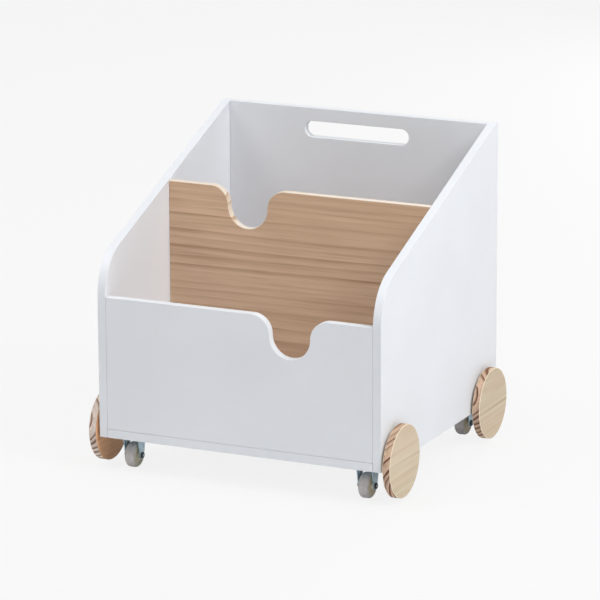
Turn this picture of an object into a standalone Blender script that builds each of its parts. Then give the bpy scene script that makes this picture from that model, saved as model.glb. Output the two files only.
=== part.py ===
"""Rolling bookcase: a white board case with sloping sides, a pine divider, pine discs and four rigid castors.

Metres, +Z up. The floor is z = 0, the origin lies under the middle of the case, and the front faces -Y.
"""

import math

import bmesh
import bpy
from mathutils import Matrix, Vector

# Case
CASE_WIDTH = 0.420
CASE_DEPTH = 0.400
CASE_HEIGHT = 0.396  # sides and back, without the castors
BOARD = 0.012
FRONT_HEIGHT = 0.198  # top of the front panel over the underside of the case
CORNER_RADIUS = 0.070  # front top corner of each side
DIVIDER_HEIGHT = 0.319  # top of the divider over the underside of the case

# Dip in the top edge of the front panel and of the divider
DIP_OFFSET = 0.077  # to the right of the middle on the front panel, to the left on the divider
DIP_DEPTH = 0.057
DIP_BOWL_RADIUS = 0.030
DIP_SHOULDER_RADIUS = 0.0265

# Hand slot in the back panel
SLOT_LENGTH = 0.160
SLOT_HEIGHT = 0.023
SLOT_MARGIN = 0.019  # from the top edge of the back panel to the slot

# Pine discs on the sides
DISC_THICKNESS = 0.011
DISC_INSET = 0.046  # centre, from the front or the back of the case
DISC_FLOOR_CLEARANCE = 0.0035
DISC_EASE = 0.0008
DISC_BOLT_RADIUS = 0.003
DISC_BOLT_IN_DISC = 0.0075
DISC_BOLT_IN_BOTTOM = 0.018
SPACER_RADIUS = 0.012
SPACER_THICKNESS = 0.0032

# Cam fittings that join the front and the back to the sides
CAM_RADIUS = 0.006
CAM_SKIN = 0.0025  # board left under the cam's pocket
CAM_REACH = 0.024  # cam's axis, from the end of its board
CAM_END_INSET = 0.045  # cams, from the top and the bottom edge of their board
CAM_CAP = 0.0022
CAM_BOLT_RADIUS = 0.0022
CAM_BOLT_HEAD_RADIUS = 0.0028
CAM_BOLT_HEAD_LENGTH = 0.003
CAM_THREAD_RADIUS = 0.0026

# Dowels at the ends of the divider
DOWEL_RADIUS = 0.003
DOWEL_IN_DIVIDER = 0.016
DOWEL_END_INSET = 0.050
BLIND_SKIN = 0.003  # board left behind a blind hole

# Castors: a bracket bent from one sheet, with two legs, a riveted axle and a moulded wheel
CASTOR_SIDE_INSET = 0.035  # middle of the castor, from the outer face of the side
CASTOR_END_INSET = 0.035  # middle of the castor, from the front or the back of the case
SHEET = 0.0016
BEND_RADIUS = 0.0014  # inside, between plate and leg
PLATE_LENGTH = 0.050
PLATE_CORNER = 0.004
SCREW_SPACING = 0.039
LEG_TOP_WIDTH = 0.022
LEG_END_RADIUS = 0.0055
LEG_CLEARANCE = 0.0004  # between the wheel's hub and each leg
AXLE_RADIUS = 0.0025
AXLE_HEAD_RADIUS = 0.0046
AXLE_HEAD = 0.0014
AXLE_HEAD_HOLLOW_RADIUS = 0.0018
AXLE_HEAD_HOLLOW = 0.0007
WHEEL_DIAMETER = 0.035
WHEEL_WIDTH = 0.016
WHEEL_SHOULDER = 0.005
WHEEL_CLEARANCE = 0.0106  # between the wheel and the plate
HUB_RADIUS = 0.006
HUB_PROUD = 0.002  # the hub, beyond the side of the wheel
WEB_RADIUS = 0.0105
WEB_RECESS = 0.0008

# Screws that hold the castors
SCREW_RADIUS = 0.0018
SCREW_HEAD_RADIUS = 0.0035
SCREW_HEAD = 0.0018
SCREW_HEAD_EASE = 0.0006

# Clearance wherever two pieces meet
SEAT_GAP = 0.0003

# Fineness of round shapes
DISC_SEGMENTS = 52
WHEEL_SEGMENTS = 28
WHEEL_SHOULDER_SEGMENTS = 4
SMALL_SEGMENTS = 16
HOLE_SEGMENTS = 12
SCREW_SEGMENTS = 8
PLATE_CORNER_SEGMENTS = 3
BEND_SEGMENTS = 3
LEG_END_SEGMENTS = 8
CORNER_SEGMENTS = 12
SHOULDER_SEGMENTS = 6
BOWL_SEGMENTS = 14

# Worked out from the sizes above
HALF_WIDTH = CASE_WIDTH / 2
HALF_DEPTH = CASE_DEPTH / 2
INNER_WALL = HALF_WIDTH - BOARD
INNER_END = INNER_WALL - SEAT_GAP  # half the length of a board between the sides
AXLE_Z = WHEEL_DIAMETER / 2
PLATE_FOOT = WHEEL_DIAMETER + WHEEL_CLEARANCE
PLATE_TOP = PLATE_FOOT + SHEET
CASE_BOTTOM = PLATE_TOP + SEAT_GAP
CASE_TOP = CASE_BOTTOM + CASE_HEIGHT
FLOOR_BOARD_MIDDLE = CASE_BOTTOM + BOARD / 2
FLOOR_BOARD_TOP = CASE_BOTTOM + BOARD
STANDING_FOOT = FLOOR_BOARD_TOP + SEAT_GAP  # lower edge of the boards that stand on the bottom
FRONT_TOP = CASE_BOTTOM + FRONT_HEIGHT
DIVIDER_TOP = CASE_BOTTOM + DIVIDER_HEIGHT
DISC_RADIUS = FLOOR_BOARD_MIDDLE - DISC_FLOOR_CLEARANCE
DISC_FACE = HALF_WIDTH + SPACER_THICKNESS + SEAT_GAP  # inner face of a disc, from the middle
BLIND_DEPTH = BOARD - BLIND_SKIN
CAM_TOP = BOARD / 2 - SEAT_GAP  # a cam's outer face, from the middle of its board
CAM_FOOT = CAM_SKIN + SEAT_GAP - BOARD / 2
HUB_HALF_WIDTH = WHEEL_WIDTH / 2 + HUB_PROUD
LEG_FACE = HUB_HALF_WIDTH + LEG_CLEARANCE
LEG_OUTSIDE = LEG_FACE + SHEET
PLATE_HALF_WIDTH = LEG_FACE - BEND_RADIUS  # the flat part, up to the bends
BEND_LENGTH = BEND_RADIUS * math.pi / 2

SIDES = {"left": -1, "right": 1}
ENDS = {"front": -1, "rear": 1}
ALONG_X = Matrix.Rotation(math.pi / 2, 4, "Y")
ALONG_Y = Matrix.Rotation(-math.pi / 2, 4, "X")
ALONG_Z = Matrix.Identity(4)


def clear_scene():
    for obj in list(bpy.data.objects):
        bpy.data.objects.remove(obj, do_unlink=True)


def material(name, colour, roughness, metallic=0.0):
    made = bpy.data.materials.new(name)
    made.use_nodes = True
    made.diffuse_color = (*colour, 1.0)
    shader = made.node_tree.nodes["Principled BSDF"]
    shader.inputs["Base Color"].default_value = (*colour, 1.0)
    shader.inputs["Roughness"].default_value = roughness
    shader.inputs["Metallic"].default_value = metallic
    return made


def make_materials():
    return {
        "lacquer": material("white lacquer", (0.80, 0.80, 0.82), 0.4),
        "pine": material("pine board", (0.62, 0.37, 0.20), 0.6),
        "disc": material("pine disc", (0.74, 0.55, 0.34), 0.6),
        "plastic": material("white plastic", (0.70, 0.70, 0.70), 0.5),
        "beech": material("beech dowel", (0.60, 0.42, 0.26), 0.7),
        "zinc": material("zinc plated steel", (0.48, 0.52, 0.55), 0.35, 1.0),
        "die_cast": material("die cast zinc", (0.42, 0.42, 0.42), 0.5, 1.0),
        "rubber": material("grey rubber", (0.27, 0.25, 0.24), 0.75),
    }


def mesh_from(bm, name):
    bmesh.ops.recalc_face_normals(bm, faces=bm.faces)
    mesh = bpy.data.meshes.new(name)
    bm.to_mesh(mesh)
    bm.free()
    mesh.shade_smooth()
    mesh.set_sharp_from_angle(angle=math.radians(30))
    return mesh


def place(name, mesh, finish=None, location=(0, 0, 0)):
    obj = bpy.data.objects.new(name, mesh)
    obj.location = location
    bpy.context.scene.collection.objects.link(obj)
    if finish and not mesh.materials:
        mesh.materials.append(finish)
    return obj


def arc(centre, radius, start, end, segments):
    """Points on an arc, in degrees, with both ends."""
    turns = [math.radians(start + (end - start) * step / segments) for step in range(segments + 1)]
    return [(centre[0] + radius * math.cos(a), centre[1] + radius * math.sin(a)) for a in turns]


def add_prism(bm, outline, low, high, turn=ALONG_Z):
    """An outline in the local XY plane, made solid from low to high along local Z, then turned."""
    base = bm.faces.new([bm.verts.new(turn @ Matrix.Translation((u, v, low)).to_translation()) for u, v in outline])
    grown = bmesh.ops.extrude_face_region(bm, geom=[base])["geom"]
    rise = turn.to_3x3() @ Matrix.Translation((0, 0, high - low)).to_translation()
    bmesh.ops.translate(bm, vec=rise, verts=[item for item in grown if isinstance(item, bmesh.types.BMVert)])


def add_rod(bm, centre, radius, low, high, turn, segments=HOLE_SEGMENTS):
    """A cylinder from low to high along the turned Z axis, measured from centre."""
    middle = Matrix.Translation(centre) @ turn @ Matrix.Translation((0, 0, (low + high) / 2))
    bmesh.ops.create_cone(
        bm, cap_ends=True, segments=segments, radius1=radius, radius2=radius, depth=high - low, matrix=middle
    )


def add_turned(bm, profile, segments, turn=ALONG_Z, closed=False):
    """A profile of (radius, height) points, spun about Z and then turned."""
    verts = [bm.verts.new((radius, 0, height)) for radius, height in profile]
    ends = zip(verts, verts[1:] + verts[:1]) if closed else zip(verts, verts[1:])
    edges = [bm.edges.new(pair) for pair in ends]
    bmesh.ops.spin(
        bm, geom=verts + edges, cent=(0, 0, 0), axis=(0, 0, 1), angle=2 * math.pi, steps=segments, use_merge=True
    )
    bmesh.ops.remove_doubles(bm, verts=bm.verts, dist=1e-6)
    bmesh.ops.transform(bm, matrix=turn, verts=bm.verts)


def combine(obj, other, operation):
    modifier = obj.modifiers.new(operation.title(), "BOOLEAN")
    modifier.operation = operation
    modifier.solver = "EXACT"
    modifier.object = other


def hide(helper):
    helper.hide_render = True
    helper.display_type = "WIRE"


def cut(obj, bm):
    """Cuts the closed shapes in bm, given in world space, out of obj."""
    cutter = place(f"{obj.name}_cutter", mesh_from(bm, f"{obj.name}_cutter"))
    hide(cutter)
    combine(obj, cutter, "DIFFERENCE")


def finished_mesh(obj, cutters):
    """The mesh of obj with its modifiers applied. The helpers are removed."""
    bpy.context.view_layer.update()
    mesh = bpy.data.meshes.new_from_object(obj.evaluated_get(bpy.context.evaluated_depsgraph_get()))
    for helper in [obj, *cutters]:
        bpy.data.objects.remove(helper, do_unlink=True)
    mesh.materials.clear()
    mesh.shade_smooth()
    mesh.set_sharp_from_angle(angle=math.radians(30))
    return mesh


def side_outline():
    """(y, z) points of a side: upright front, rounded corner, slope up to the flat top over the back."""
    centre = (CORNER_RADIUS - HALF_DEPTH, FRONT_TOP)
    top_front = (HALF_DEPTH - BOARD, CASE_TOP)
    run, rise = top_front[0] - centre[0], top_front[1] - centre[1]
    slope = math.degrees(math.atan2(rise, run) - math.asin(CORNER_RADIUS / math.hypot(run, rise)))
    return [
        (HALF_DEPTH, CASE_BOTTOM),
        (HALF_DEPTH, CASE_TOP),
        top_front,
        *reversed(arc(centre, CORNER_RADIUS, 180, 90 + slope, CORNER_SEGMENTS)),
        (-HALF_DEPTH, CASE_BOTTOM),
    ]


def dip_outline(middle, top):
    """(x, z) points of a dip in a top edge, from right to left: shoulder, bowl, shoulder."""
    bowl_z = top - DIP_DEPTH + DIP_BOWL_RADIUS
    shoulder_z = top - DIP_SHOULDER_RADIUS
    reach = math.sqrt((DIP_BOWL_RADIUS + DIP_SHOULDER_RADIUS) ** 2 - (bowl_z - shoulder_z) ** 2)
    lean = math.degrees(math.asin((bowl_z - shoulder_z) / (DIP_BOWL_RADIUS + DIP_SHOULDER_RADIUS)))
    right = arc((middle + reach, shoulder_z), DIP_SHOULDER_RADIUS, 90, 180 - lean, SHOULDER_SEGMENTS)
    bowl = arc((middle, bowl_z), DIP_BOWL_RADIUS, -lean, lean - 180, BOWL_SEGMENTS)
    left = arc((middle - reach, shoulder_z), DIP_SHOULDER_RADIUS, lean, 90, SHOULDER_SEGMENTS)
    return right + bowl[1:-1] + left


def standing_board(name, finish, middle_y, top, dip=()):
    """A board between the sides, standing on the bottom, with any dip in its top edge."""
    outline = [(-INNER_END, STANDING_FOOT), (INNER_END, STANDING_FOOT), (INNER_END, top), *dip, (-INNER_END, top)]
    bm = bmesh.new()
    upright = Matrix.Rotation(math.pi / 2, 4, "X")
    add_prism(bm, outline, -middle_y - BOARD / 2, -middle_y + BOARD / 2, upright)
    return place(name, mesh_from(bm, name), finish)


def cam_heights(top):
    return (STANDING_FOOT + CAM_END_INSET, top - CAM_END_INSET)


def dowel_heights():
    return (STANDING_FOOT + DOWEL_END_INSET, DIVIDER_TOP - DOWEL_END_INSET)


def front_middle_y():
    return BOARD / 2 - HALF_DEPTH


def back_middle_y():
    return HALF_DEPTH - BOARD / 2


def add_cam_bores(bm, middle_y, top):
    """Pockets for the cams, open to the rear, and the bolts' bores from the ends of the board."""
    reach = CAM_REACH + CAM_BOLT_HEAD_LENGTH
    for side in SIDES.values():
        for height in cam_heights(top):
            cam_x = side * (INNER_END - CAM_REACH)
            pocket = (cam_x, middle_y, height)
            add_rod(bm, pocket, CAM_RADIUS + SEAT_GAP, CAM_SKIN - BOARD / 2, BOARD, ALONG_Y, SMALL_SEGMENTS)
            end = (side * INNER_END, middle_y, height)
            low, high = sorted((-side * reach, side * BOARD))
            add_rod(bm, end, CAM_BOLT_HEAD_RADIUS + SEAT_GAP, low, high, ALONG_X)


def make_side(name, side, finish):
    """A side, with blind holes on its inner face and a through hole behind each disc."""
    bm = bmesh.new()
    low, high = sorted((side * INNER_WALL, side * HALF_WIDTH))
    upright = Matrix(((0, 0, 1, 0), (1, 0, 0, 0), (0, 1, 0, 0), (0, 0, 0, 1)))
    add_prism(bm, side_outline(), low, high, upright)
    board = place(name, mesh_from(bm, name), finish)
    bm = bmesh.new()
    blind_low, blind_high = sorted((-side * BOARD, side * (BLIND_DEPTH + SEAT_GAP)))
    for middle_y, top in ((front_middle_y(), FRONT_TOP), (back_middle_y(), CASE_TOP)):
        for height in cam_heights(top):
            mouth = (side * INNER_WALL, middle_y, height)
            add_rod(bm, mouth, CAM_THREAD_RADIUS + SEAT_GAP, blind_low, blind_high, ALONG_X)
    for height in dowel_heights():
        mouth = (side * INNER_WALL, 0, height)
        add_rod(bm, mouth, DOWEL_RADIUS + SEAT_GAP, blind_low, blind_high, ALONG_X)
    for end in ENDS.values():
        centre = (side * (INNER_WALL + HALF_WIDTH) / 2, end * (HALF_DEPTH - DISC_INSET), FLOOR_BOARD_MIDDLE)
        add_rod(bm, centre, DISC_BOLT_RADIUS + SEAT_GAP, -BOARD, BOARD, ALONG_X)
    cut(board, bm)


def make_front(finish):
    dip = dip_outline(DIP_OFFSET, FRONT_TOP)
    board = standing_board("front_panel", finish, front_middle_y(), FRONT_TOP, dip)
    bm = bmesh.new()
    add_cam_bores(bm, front_middle_y(), FRONT_TOP)
    cut(board, bm)


def make_back(finish):
    board = standing_board("back_panel", finish, back_middle_y(), CASE_TOP)
    bm = bmesh.new()
    add_cam_bores(bm, back_middle_y(), CASE_TOP)
    radius = SLOT_HEIGHT / 2
    middle = CASE_TOP - SLOT_MARGIN - radius
    straight = SLOT_LENGTH / 2 - radius
    slot = arc((straight, middle), radius, -90, 90, BOWL_SEGMENTS)
    slot += arc((-straight, middle), radius, 90, 270, BOWL_SEGMENTS)
    upright = Matrix.Rotation(math.pi / 2, 4, "X")
    add_prism(bm, slot, -HALF_DEPTH - BOARD, 2 * BOARD - HALF_DEPTH, upright)
    cut(board, bm)


def castor_screw_places(end):
    """The y of a castor's outer and inner screw, for the front or the rear."""
    middle = end * (HALF_DEPTH - CASTOR_END_INSET)
    return {"outer": middle + end * SCREW_SPACING / 2, "inner": middle - end * SCREW_SPACING / 2}


def make_bottom(finish):
    """The bottom board, with the disc bolts' bores in its ends and the castor screws' bores below."""
    bm = bmesh.new()
    outline = [
        (-INNER_END, -HALF_DEPTH),
        (INNER_END, -HALF_DEPTH),
        (INNER_END, HALF_DEPTH),
        (-INNER_END, HALF_DEPTH),
    ]
    add_prism(bm, outline, CASE_BOTTOM, FLOOR_BOARD_TOP)
    board = place("bottom_panel", mesh_from(bm, "bottom_panel"), finish)
    bm = bmesh.new()
    for side in SIDES.values():
        for end in ENDS.values():
            mouth = (side * INNER_END, end * (HALF_DEPTH - DISC_INSET), FLOOR_BOARD_MIDDLE)
            low, high = sorted((-side * (DISC_BOLT_IN_BOTTOM + SEAT_GAP), side * BOARD))
            add_rod(bm, mouth, DISC_BOLT_RADIUS + SEAT_GAP, low, high, ALONG_X)
            for screw_y in castor_screw_places(end).values():
                mouth = (side * (HALF_WIDTH - CASTOR_SIDE_INSET), screw_y, CASE_BOTTOM)
                depth = BLIND_DEPTH + SEAT_GAP
                add_rod(bm, mouth, SCREW_RADIUS + SEAT_GAP, -BOARD, depth, ALONG_Z, SCREW_SEGMENTS)
    cut(board, bm)


def make_divider(finish):
    """The divider, half way back, with dowel bores in its ends."""
    board = standing_board("divider_panel", finish, 0, DIVIDER_TOP, dip_outline(-DIP_OFFSET, DIVIDER_TOP))
    bm = bmesh.new()
    for side in SIDES.values():
        for height in dowel_heights():
            low, high = sorted((-side * (DOWEL_IN_DIVIDER + SEAT_GAP), side * BOARD))
            add_rod(bm, (side * INNER_END, 0, height), DOWEL_RADIUS + SEAT_GAP, low, high, ALONG_X)
    cut(board, bm)


def make_dowels(finish):
    bm = bmesh.new()
    add_rod(bm, (0, 0, 0), DOWEL_RADIUS, -DOWEL_IN_DIVIDER, BLIND_DEPTH, ALONG_X)
    mesh = mesh_from(bm, "divider_dowel")
    for side_name, side in SIDES.items():
        for level, height in zip(("lower", "upper"), dowel_heights()):
            dowel = place(f"divider_dowel_{side_name}_{level}", mesh, finish, (side * INNER_WALL, 0, height))
            dowel.rotation_euler.z = 0 if side > 0 else math.pi


def cam_mesh():
    """A cam with its axis along Y and a channel towards +X for the head of its bolt."""
    bm = bmesh.new()
    add_rod(bm, (0, 0, 0), CAM_RADIUS, CAM_FOOT, CAM_TOP, ALONG_Y, SMALL_SEGMENTS)
    body = place("cam_blank", mesh_from(bm, "cam_blank"))
    half = CAM_BOLT_HEAD_RADIUS + SEAT_GAP
    bm = bmesh.new()
    channel = [
        (-CAM_BOLT_HEAD_LENGTH - SEAT_GAP, CAM_FOOT - half),
        (2 * CAM_RADIUS, CAM_FOOT - half),
        (2 * CAM_RADIUS, CAM_TOP - CAM_CAP),
        (-CAM_BOLT_HEAD_LENGTH - SEAT_GAP, CAM_TOP - CAM_CAP),
    ]
    add_prism(bm, channel, -half, half)
    cutter = place("cam_channel", mesh_from(bm, "cam_channel"))
    combine(body, cutter, "DIFFERENCE")
    return finished_mesh(body, [cutter])


def cam_bolt_mesh():
    """A cam bolt along X: thread in the side (+X), shank, neck and head in the board."""
    head_start = -CAM_REACH
    profile = [
        (0, BLIND_DEPTH),
        (CAM_THREAD_RADIUS, BLIND_DEPTH),
        (CAM_THREAD_RADIUS, 0),
        (CAM_BOLT_RADIUS, 0),
        (CAM_BOLT_RADIUS, head_start),
        (CAM_BOLT_HEAD_RADIUS, head_start),
        (CAM_BOLT_HEAD_RADIUS, head_start - CAM_BOLT_HEAD_LENGTH + SEAT_GAP),
        (0, head_start - CAM_BOLT_HEAD_LENGTH + SEAT_GAP),
    ]
    bm = bmesh.new()
    add_turned(bm, profile, HOLE_SEGMENTS, ALONG_X)
    return mesh_from(bm, "cam_bolt")


def make_cam_fittings(finishes):
    cam = cam_mesh()
    bolt = cam_bolt_mesh()
    for board, middle_y, top in (("front", front_middle_y(), FRONT_TOP), ("back", back_middle_y(), CASE_TOP)):
        for side_name, side in SIDES.items():
            for level, height in zip(("lower", "upper"), cam_heights(top)):
                tail = f"{board}_{side_name}_{level}"
                cam_x = side * (INNER_END - CAM_REACH)
                fitting = place(f"cam_{tail}", cam, finishes["die_cast"], (cam_x, middle_y, height))
                fitting.rotation_euler.y = 0 if side > 0 else math.pi
                screw = place(f"cam_bolt_{tail}", bolt, finishes["zinc"], (side * INNER_WALL, middle_y, height))
                screw.rotation_euler.z = 0 if side > 0 else math.pi


def disc_mesh():
    """A disc along X, from its inner face at 0, with eased edges and a blind bore."""
    bore = DISC_BOLT_RADIUS + SEAT_GAP
    depth = DISC_BOLT_IN_DISC + SEAT_GAP
    corner = DISC_RADIUS - DISC_EASE
    profile = [
        (0, depth),
        (bore, depth),
        (bore, 0),
        *arc((corner, DISC_EASE), DISC_EASE, -90, 0, 1),
        *arc((corner, DISC_THICKNESS - DISC_EASE), DISC_EASE, 0, 90, 1),
        (0, DISC_THICKNESS),
    ]
    bm = bmesh.new()
    add_turned(bm, profile, DISC_SEGMENTS, ALONG_X)
    return mesh_from(bm, "disc")


def spacer_mesh():
    bore = DISC_BOLT_RADIUS + SEAT_GAP
    profile = [
        (bore, SEAT_GAP),
        (SPACER_RADIUS, SEAT_GAP),
        (SPACER_RADIUS, SPACER_THICKNESS),
        (bore, SPACER_THICKNESS),
    ]
    bm = bmesh.new()
    add_turned(bm, profile, SMALL_SEGMENTS, ALONG_X, closed=True)
    return mesh_from(bm, "disc_spacer")


def disc_bolt_mesh():
    """A headless bolt along X, measured from the outer face of the side."""
    bm = bmesh.new()
    low = INNER_END - DISC_BOLT_IN_BOTTOM - HALF_WIDTH
    high = DISC_FACE + DISC_BOLT_IN_DISC - HALF_WIDTH
    add_rod(bm, (0, 0, 0), DISC_BOLT_RADIUS, low, high, ALONG_X)
    return mesh_from(bm, "disc_bolt")


def make_discs(finishes):
    disc, spacer, bolt = disc_mesh(), spacer_mesh(), disc_bolt_mesh()
    for end_name, end in ENDS.items():
        for side_name, side in SIDES.items():
            y = end * (HALF_DEPTH - DISC_INSET)
            where = f"{end_name}_{side_name}"
            outside = (side * HALF_WIDTH, y, FLOOR_BOARD_MIDDLE)
            pieces = [
                place(f"disc_{where}", disc, finishes["disc"], (side * DISC_FACE, y, FLOOR_BOARD_MIDDLE)),
                place(f"disc_spacer_{where}", spacer, finishes["plastic"], outside),
                place(f"disc_bolt_{where}", bolt, finishes["zinc"], outside),
            ]
            for piece in pieces:
                piece.rotation_euler.z = 0 if side > 0 else math.pi


def folded(point):
    """Where a point of the flat sheet, as (across, along, height), lies once the legs are bent down."""
    across = abs(point.x)
    reach = BEND_RADIUS + point.z
    turn = min(max(across - PLATE_HALF_WIDTH, 0), BEND_LENGTH) / BEND_RADIUS
    drop = max(across - PLATE_HALF_WIDTH - BEND_LENGTH, 0)
    x = min(across, PLATE_HALF_WIDTH) + reach * math.sin(turn)
    z = PLATE_FOOT - BEND_RADIUS + reach * math.cos(turn) - drop
    return Vector((math.copysign(x, point.x), point.y, z))


def castor_bracket_mesh():
    """The bracket about the middle of the castor: a plate and two legs that narrow to the axle."""
    half_leg = LEG_TOP_WIDTH / 2
    tip = PLATE_HALF_WIDTH + BEND_LENGTH + PLATE_FOOT - BEND_RADIUS - AXLE_Z  # axle, on the flat sheet
    leg_length = tip - PLATE_HALF_WIDTH - BEND_LENGTH
    spread = math.atan2(half_leg, -leg_length) - math.acos(LEG_END_RADIUS / math.hypot(leg_length, half_leg))
    round_end = arc((tip, 0), LEG_END_RADIUS, -math.degrees(spread), math.degrees(spread), LEG_END_SEGMENTS)
    bends = [PLATE_HALF_WIDTH + BEND_LENGTH * step / BEND_SEGMENTS for step in range(BEND_SEGMENTS + 1)]
    bm = bmesh.new()
    rows = {}
    for side in SIDES.values():
        rows[side] = [[bm.verts.new((side * across, y, 0)) for y in (-half_leg, half_leg)] for across in bends]
        for near, far in zip(rows[side], rows[side][1:]):
            bm.faces.new((near[0], far[0], far[1], near[1]))
        leg_end = [bm.verts.new((side * across, y, 0)) for across, y in round_end]
        bm.faces.new([rows[side][-1][0], *leg_end, rows[side][-1][1]])
    corner_x, corner_y = PLATE_HALF_WIDTH - PLATE_CORNER, PLATE_LENGTH / 2 - PLATE_CORNER
    outline = []
    for x, y, start in ((corner_x, corner_y, 0), (-corner_x, corner_y, 90)):
        outline += arc((x, y), PLATE_CORNER, start, start + 90, PLATE_CORNER_SEGMENTS)
    one_end = [bm.verts.new((x, y, 0)) for x, y in outline]
    other_end = [bm.verts.new((-x, -y, 0)) for x, y in outline]
    bm.faces.new([*rows[1][0], *one_end, *reversed(rows[-1][0]), *other_end])
    grown = bmesh.ops.extrude_face_region(bm, geom=bm.faces[:])["geom"]
    upper = [item for item in grown if isinstance(item, bmesh.types.BMVert)]
    bmesh.ops.translate(bm, vec=(0, 0, SHEET), verts=upper)
    for vert in bm.verts:
        vert.co = folded(vert.co)
    bracket = place("bracket_blank", mesh_from(bm, "bracket_blank"))
    bm = bmesh.new()
    add_rod(bm, (0, 0, AXLE_Z), AXLE_RADIUS + SEAT_GAP, -2 * LEG_OUTSIDE, 2 * LEG_OUTSIDE, ALONG_X)
    for y in (-SCREW_SPACING / 2, SCREW_SPACING / 2):
        low, high = PLATE_FOOT - BOARD, CASE_BOTTOM + BOARD
        add_rod(bm, (0, y, 0), SCREW_RADIUS + SEAT_GAP, low, high, ALONG_Z, SCREW_SEGMENTS)
    holes = place("bracket_holes", mesh_from(bm, "bracket_holes"))
    combine(bracket, holes, "DIFFERENCE")
    return finished_mesh(bracket, [holes])


def castor_screw_mesh():
    """A pan head screw, driven up through the plate into the bottom board."""
    seat = PLATE_FOOT - SEAT_GAP
    profile = [
        (0, seat - SCREW_HEAD),
        (SCREW_HEAD_RADIUS - SCREW_HEAD_EASE, seat - SCREW_HEAD),
        (SCREW_HEAD_RADIUS, seat - SCREW_HEAD + SCREW_HEAD_EASE),
        (SCREW_HEAD_RADIUS, seat),
        (SCREW_RADIUS, seat),
        (SCREW_RADIUS, CASE_BOTTOM + BLIND_DEPTH),
        (0, CASE_BOTTOM + BLIND_DEPTH),
    ]
    bm = bmesh.new()
    add_turned(bm, profile, SCREW_SEGMENTS)
    return mesh_from(bm, "castor_screw")


def castor_axle_mesh():
    """A riveted axle along X, with a hollow in each head."""
    seat = LEG_OUTSIDE + SEAT_GAP
    tip = seat + AXLE_HEAD
    ease = AXLE_HEAD / 3
    half = [
        (AXLE_RADIUS, seat),
        (AXLE_HEAD_RADIUS, seat),
        (AXLE_HEAD_RADIUS, tip - ease),
        (AXLE_HEAD_RADIUS - ease, tip),
        (AXLE_HEAD_HOLLOW_RADIUS, tip),
        (AXLE_HEAD_HOLLOW_RADIUS, tip - AXLE_HEAD_HOLLOW),
        (0, tip - AXLE_HEAD_HOLLOW),
    ]
    profile = [(radius, -height) for radius, height in reversed(half)] + half
    bm = bmesh.new()
    add_turned(bm, profile, HOLE_SEGMENTS, ALONG_X)
    return mesh_from(bm, "castor_axle")


def castor_wheel_mesh():
    """A moulded wheel about X: bore, hub, recessed web and a rim with round shoulders."""
    rim_side = WHEEL_WIDTH / 2
    shoulder = (WHEEL_DIAMETER / 2 - WHEEL_SHOULDER, rim_side - WHEEL_SHOULDER)
    half = [
        (AXLE_RADIUS + SEAT_GAP, HUB_HALF_WIDTH),
        (HUB_RADIUS, HUB_HALF_WIDTH),
        (HUB_RADIUS, rim_side - WEB_RECESS),
        (WEB_RADIUS, rim_side - WEB_RECESS),
        (WEB_RADIUS, rim_side),
        *arc(shoulder, WHEEL_SHOULDER, 90, 0, WHEEL_SHOULDER_SEGMENTS),
    ]
    profile = half + [(radius, -height) for radius, height in reversed(half)]
    bm = bmesh.new()
    add_turned(bm, profile, WHEEL_SEGMENTS, ALONG_X, closed=True)
    return mesh_from(bm, "castor_wheel")


def make_castors(finishes):
    """Four rigid castors that all roll to the front and to the back."""
    bracket, screw = castor_bracket_mesh(), castor_screw_mesh()
    axle, wheel = castor_axle_mesh(), castor_wheel_mesh()
    for end_name, end in ENDS.items():
        for side_name, side in SIDES.items():
            where = f"{end_name}_{side_name}"
            x, y = side * (HALF_WIDTH - CASTOR_SIDE_INSET), end * (HALF_DEPTH - CASTOR_END_INSET)
            place(f"castor_bracket_{where}", bracket, finishes["zinc"], (x, y, 0))
            place(f"castor_axle_{where}", axle, finishes["zinc"], (x, y, AXLE_Z))
            place(f"castor_wheel_{where}", wheel, finishes["rubber"], (x, y, AXLE_Z))
            for place_name, screw_y in castor_screw_places(end).items():
                place(f"castor_screw_{where}_{place_name}", screw, finishes["zinc"], (x, screw_y, 0))


def main():
    clear_scene()
    finishes = make_materials()
    for side_name, side in SIDES.items():
        make_side(f"{side_name}_side_panel", side, finishes["lacquer"])
    make_front(finishes["lacquer"])
    make_back(finishes["lacquer"])
    make_bottom(finishes["lacquer"])
    make_divider(finishes["pine"])
    make_dowels(finishes["beech"])
    make_cam_fittings(finishes)
    make_discs(finishes)
    make_castors(finishes)


main()
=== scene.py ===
"""Looks of the rolling bookcase: lacquered boards, a pine divider, pine discs and four rigid castors.

Metres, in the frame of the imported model: the floor is z = 0, the origin lies under the middle of the
case, and the front faces -Y.
"""

import math

import bmesh
import bpy
from mathutils import Euler, Matrix, Vector


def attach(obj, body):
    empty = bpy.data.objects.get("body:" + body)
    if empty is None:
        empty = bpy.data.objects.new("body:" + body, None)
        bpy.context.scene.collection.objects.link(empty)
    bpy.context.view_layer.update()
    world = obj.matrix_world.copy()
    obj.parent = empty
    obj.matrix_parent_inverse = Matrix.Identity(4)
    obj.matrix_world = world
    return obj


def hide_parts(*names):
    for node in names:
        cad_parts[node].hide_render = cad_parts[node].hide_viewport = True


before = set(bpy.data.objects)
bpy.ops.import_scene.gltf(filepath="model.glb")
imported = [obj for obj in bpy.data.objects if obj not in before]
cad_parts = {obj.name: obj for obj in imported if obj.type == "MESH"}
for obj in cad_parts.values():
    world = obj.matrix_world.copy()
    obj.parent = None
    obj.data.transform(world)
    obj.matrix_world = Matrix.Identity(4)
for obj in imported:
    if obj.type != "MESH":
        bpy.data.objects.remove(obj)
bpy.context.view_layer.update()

# Case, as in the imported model
HALF_WIDTH = 0.210
HALF_DEPTH = 0.200
BOARD = 0.012
CASE_BOTTOM = 0.0475
CASE_TOP = 0.4435
FRONT_TOP = 0.2455
DIVIDER_TOP = 0.3665
CORNER_RADIUS = 0.070
SEAT_GAP = 0.0003
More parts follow.
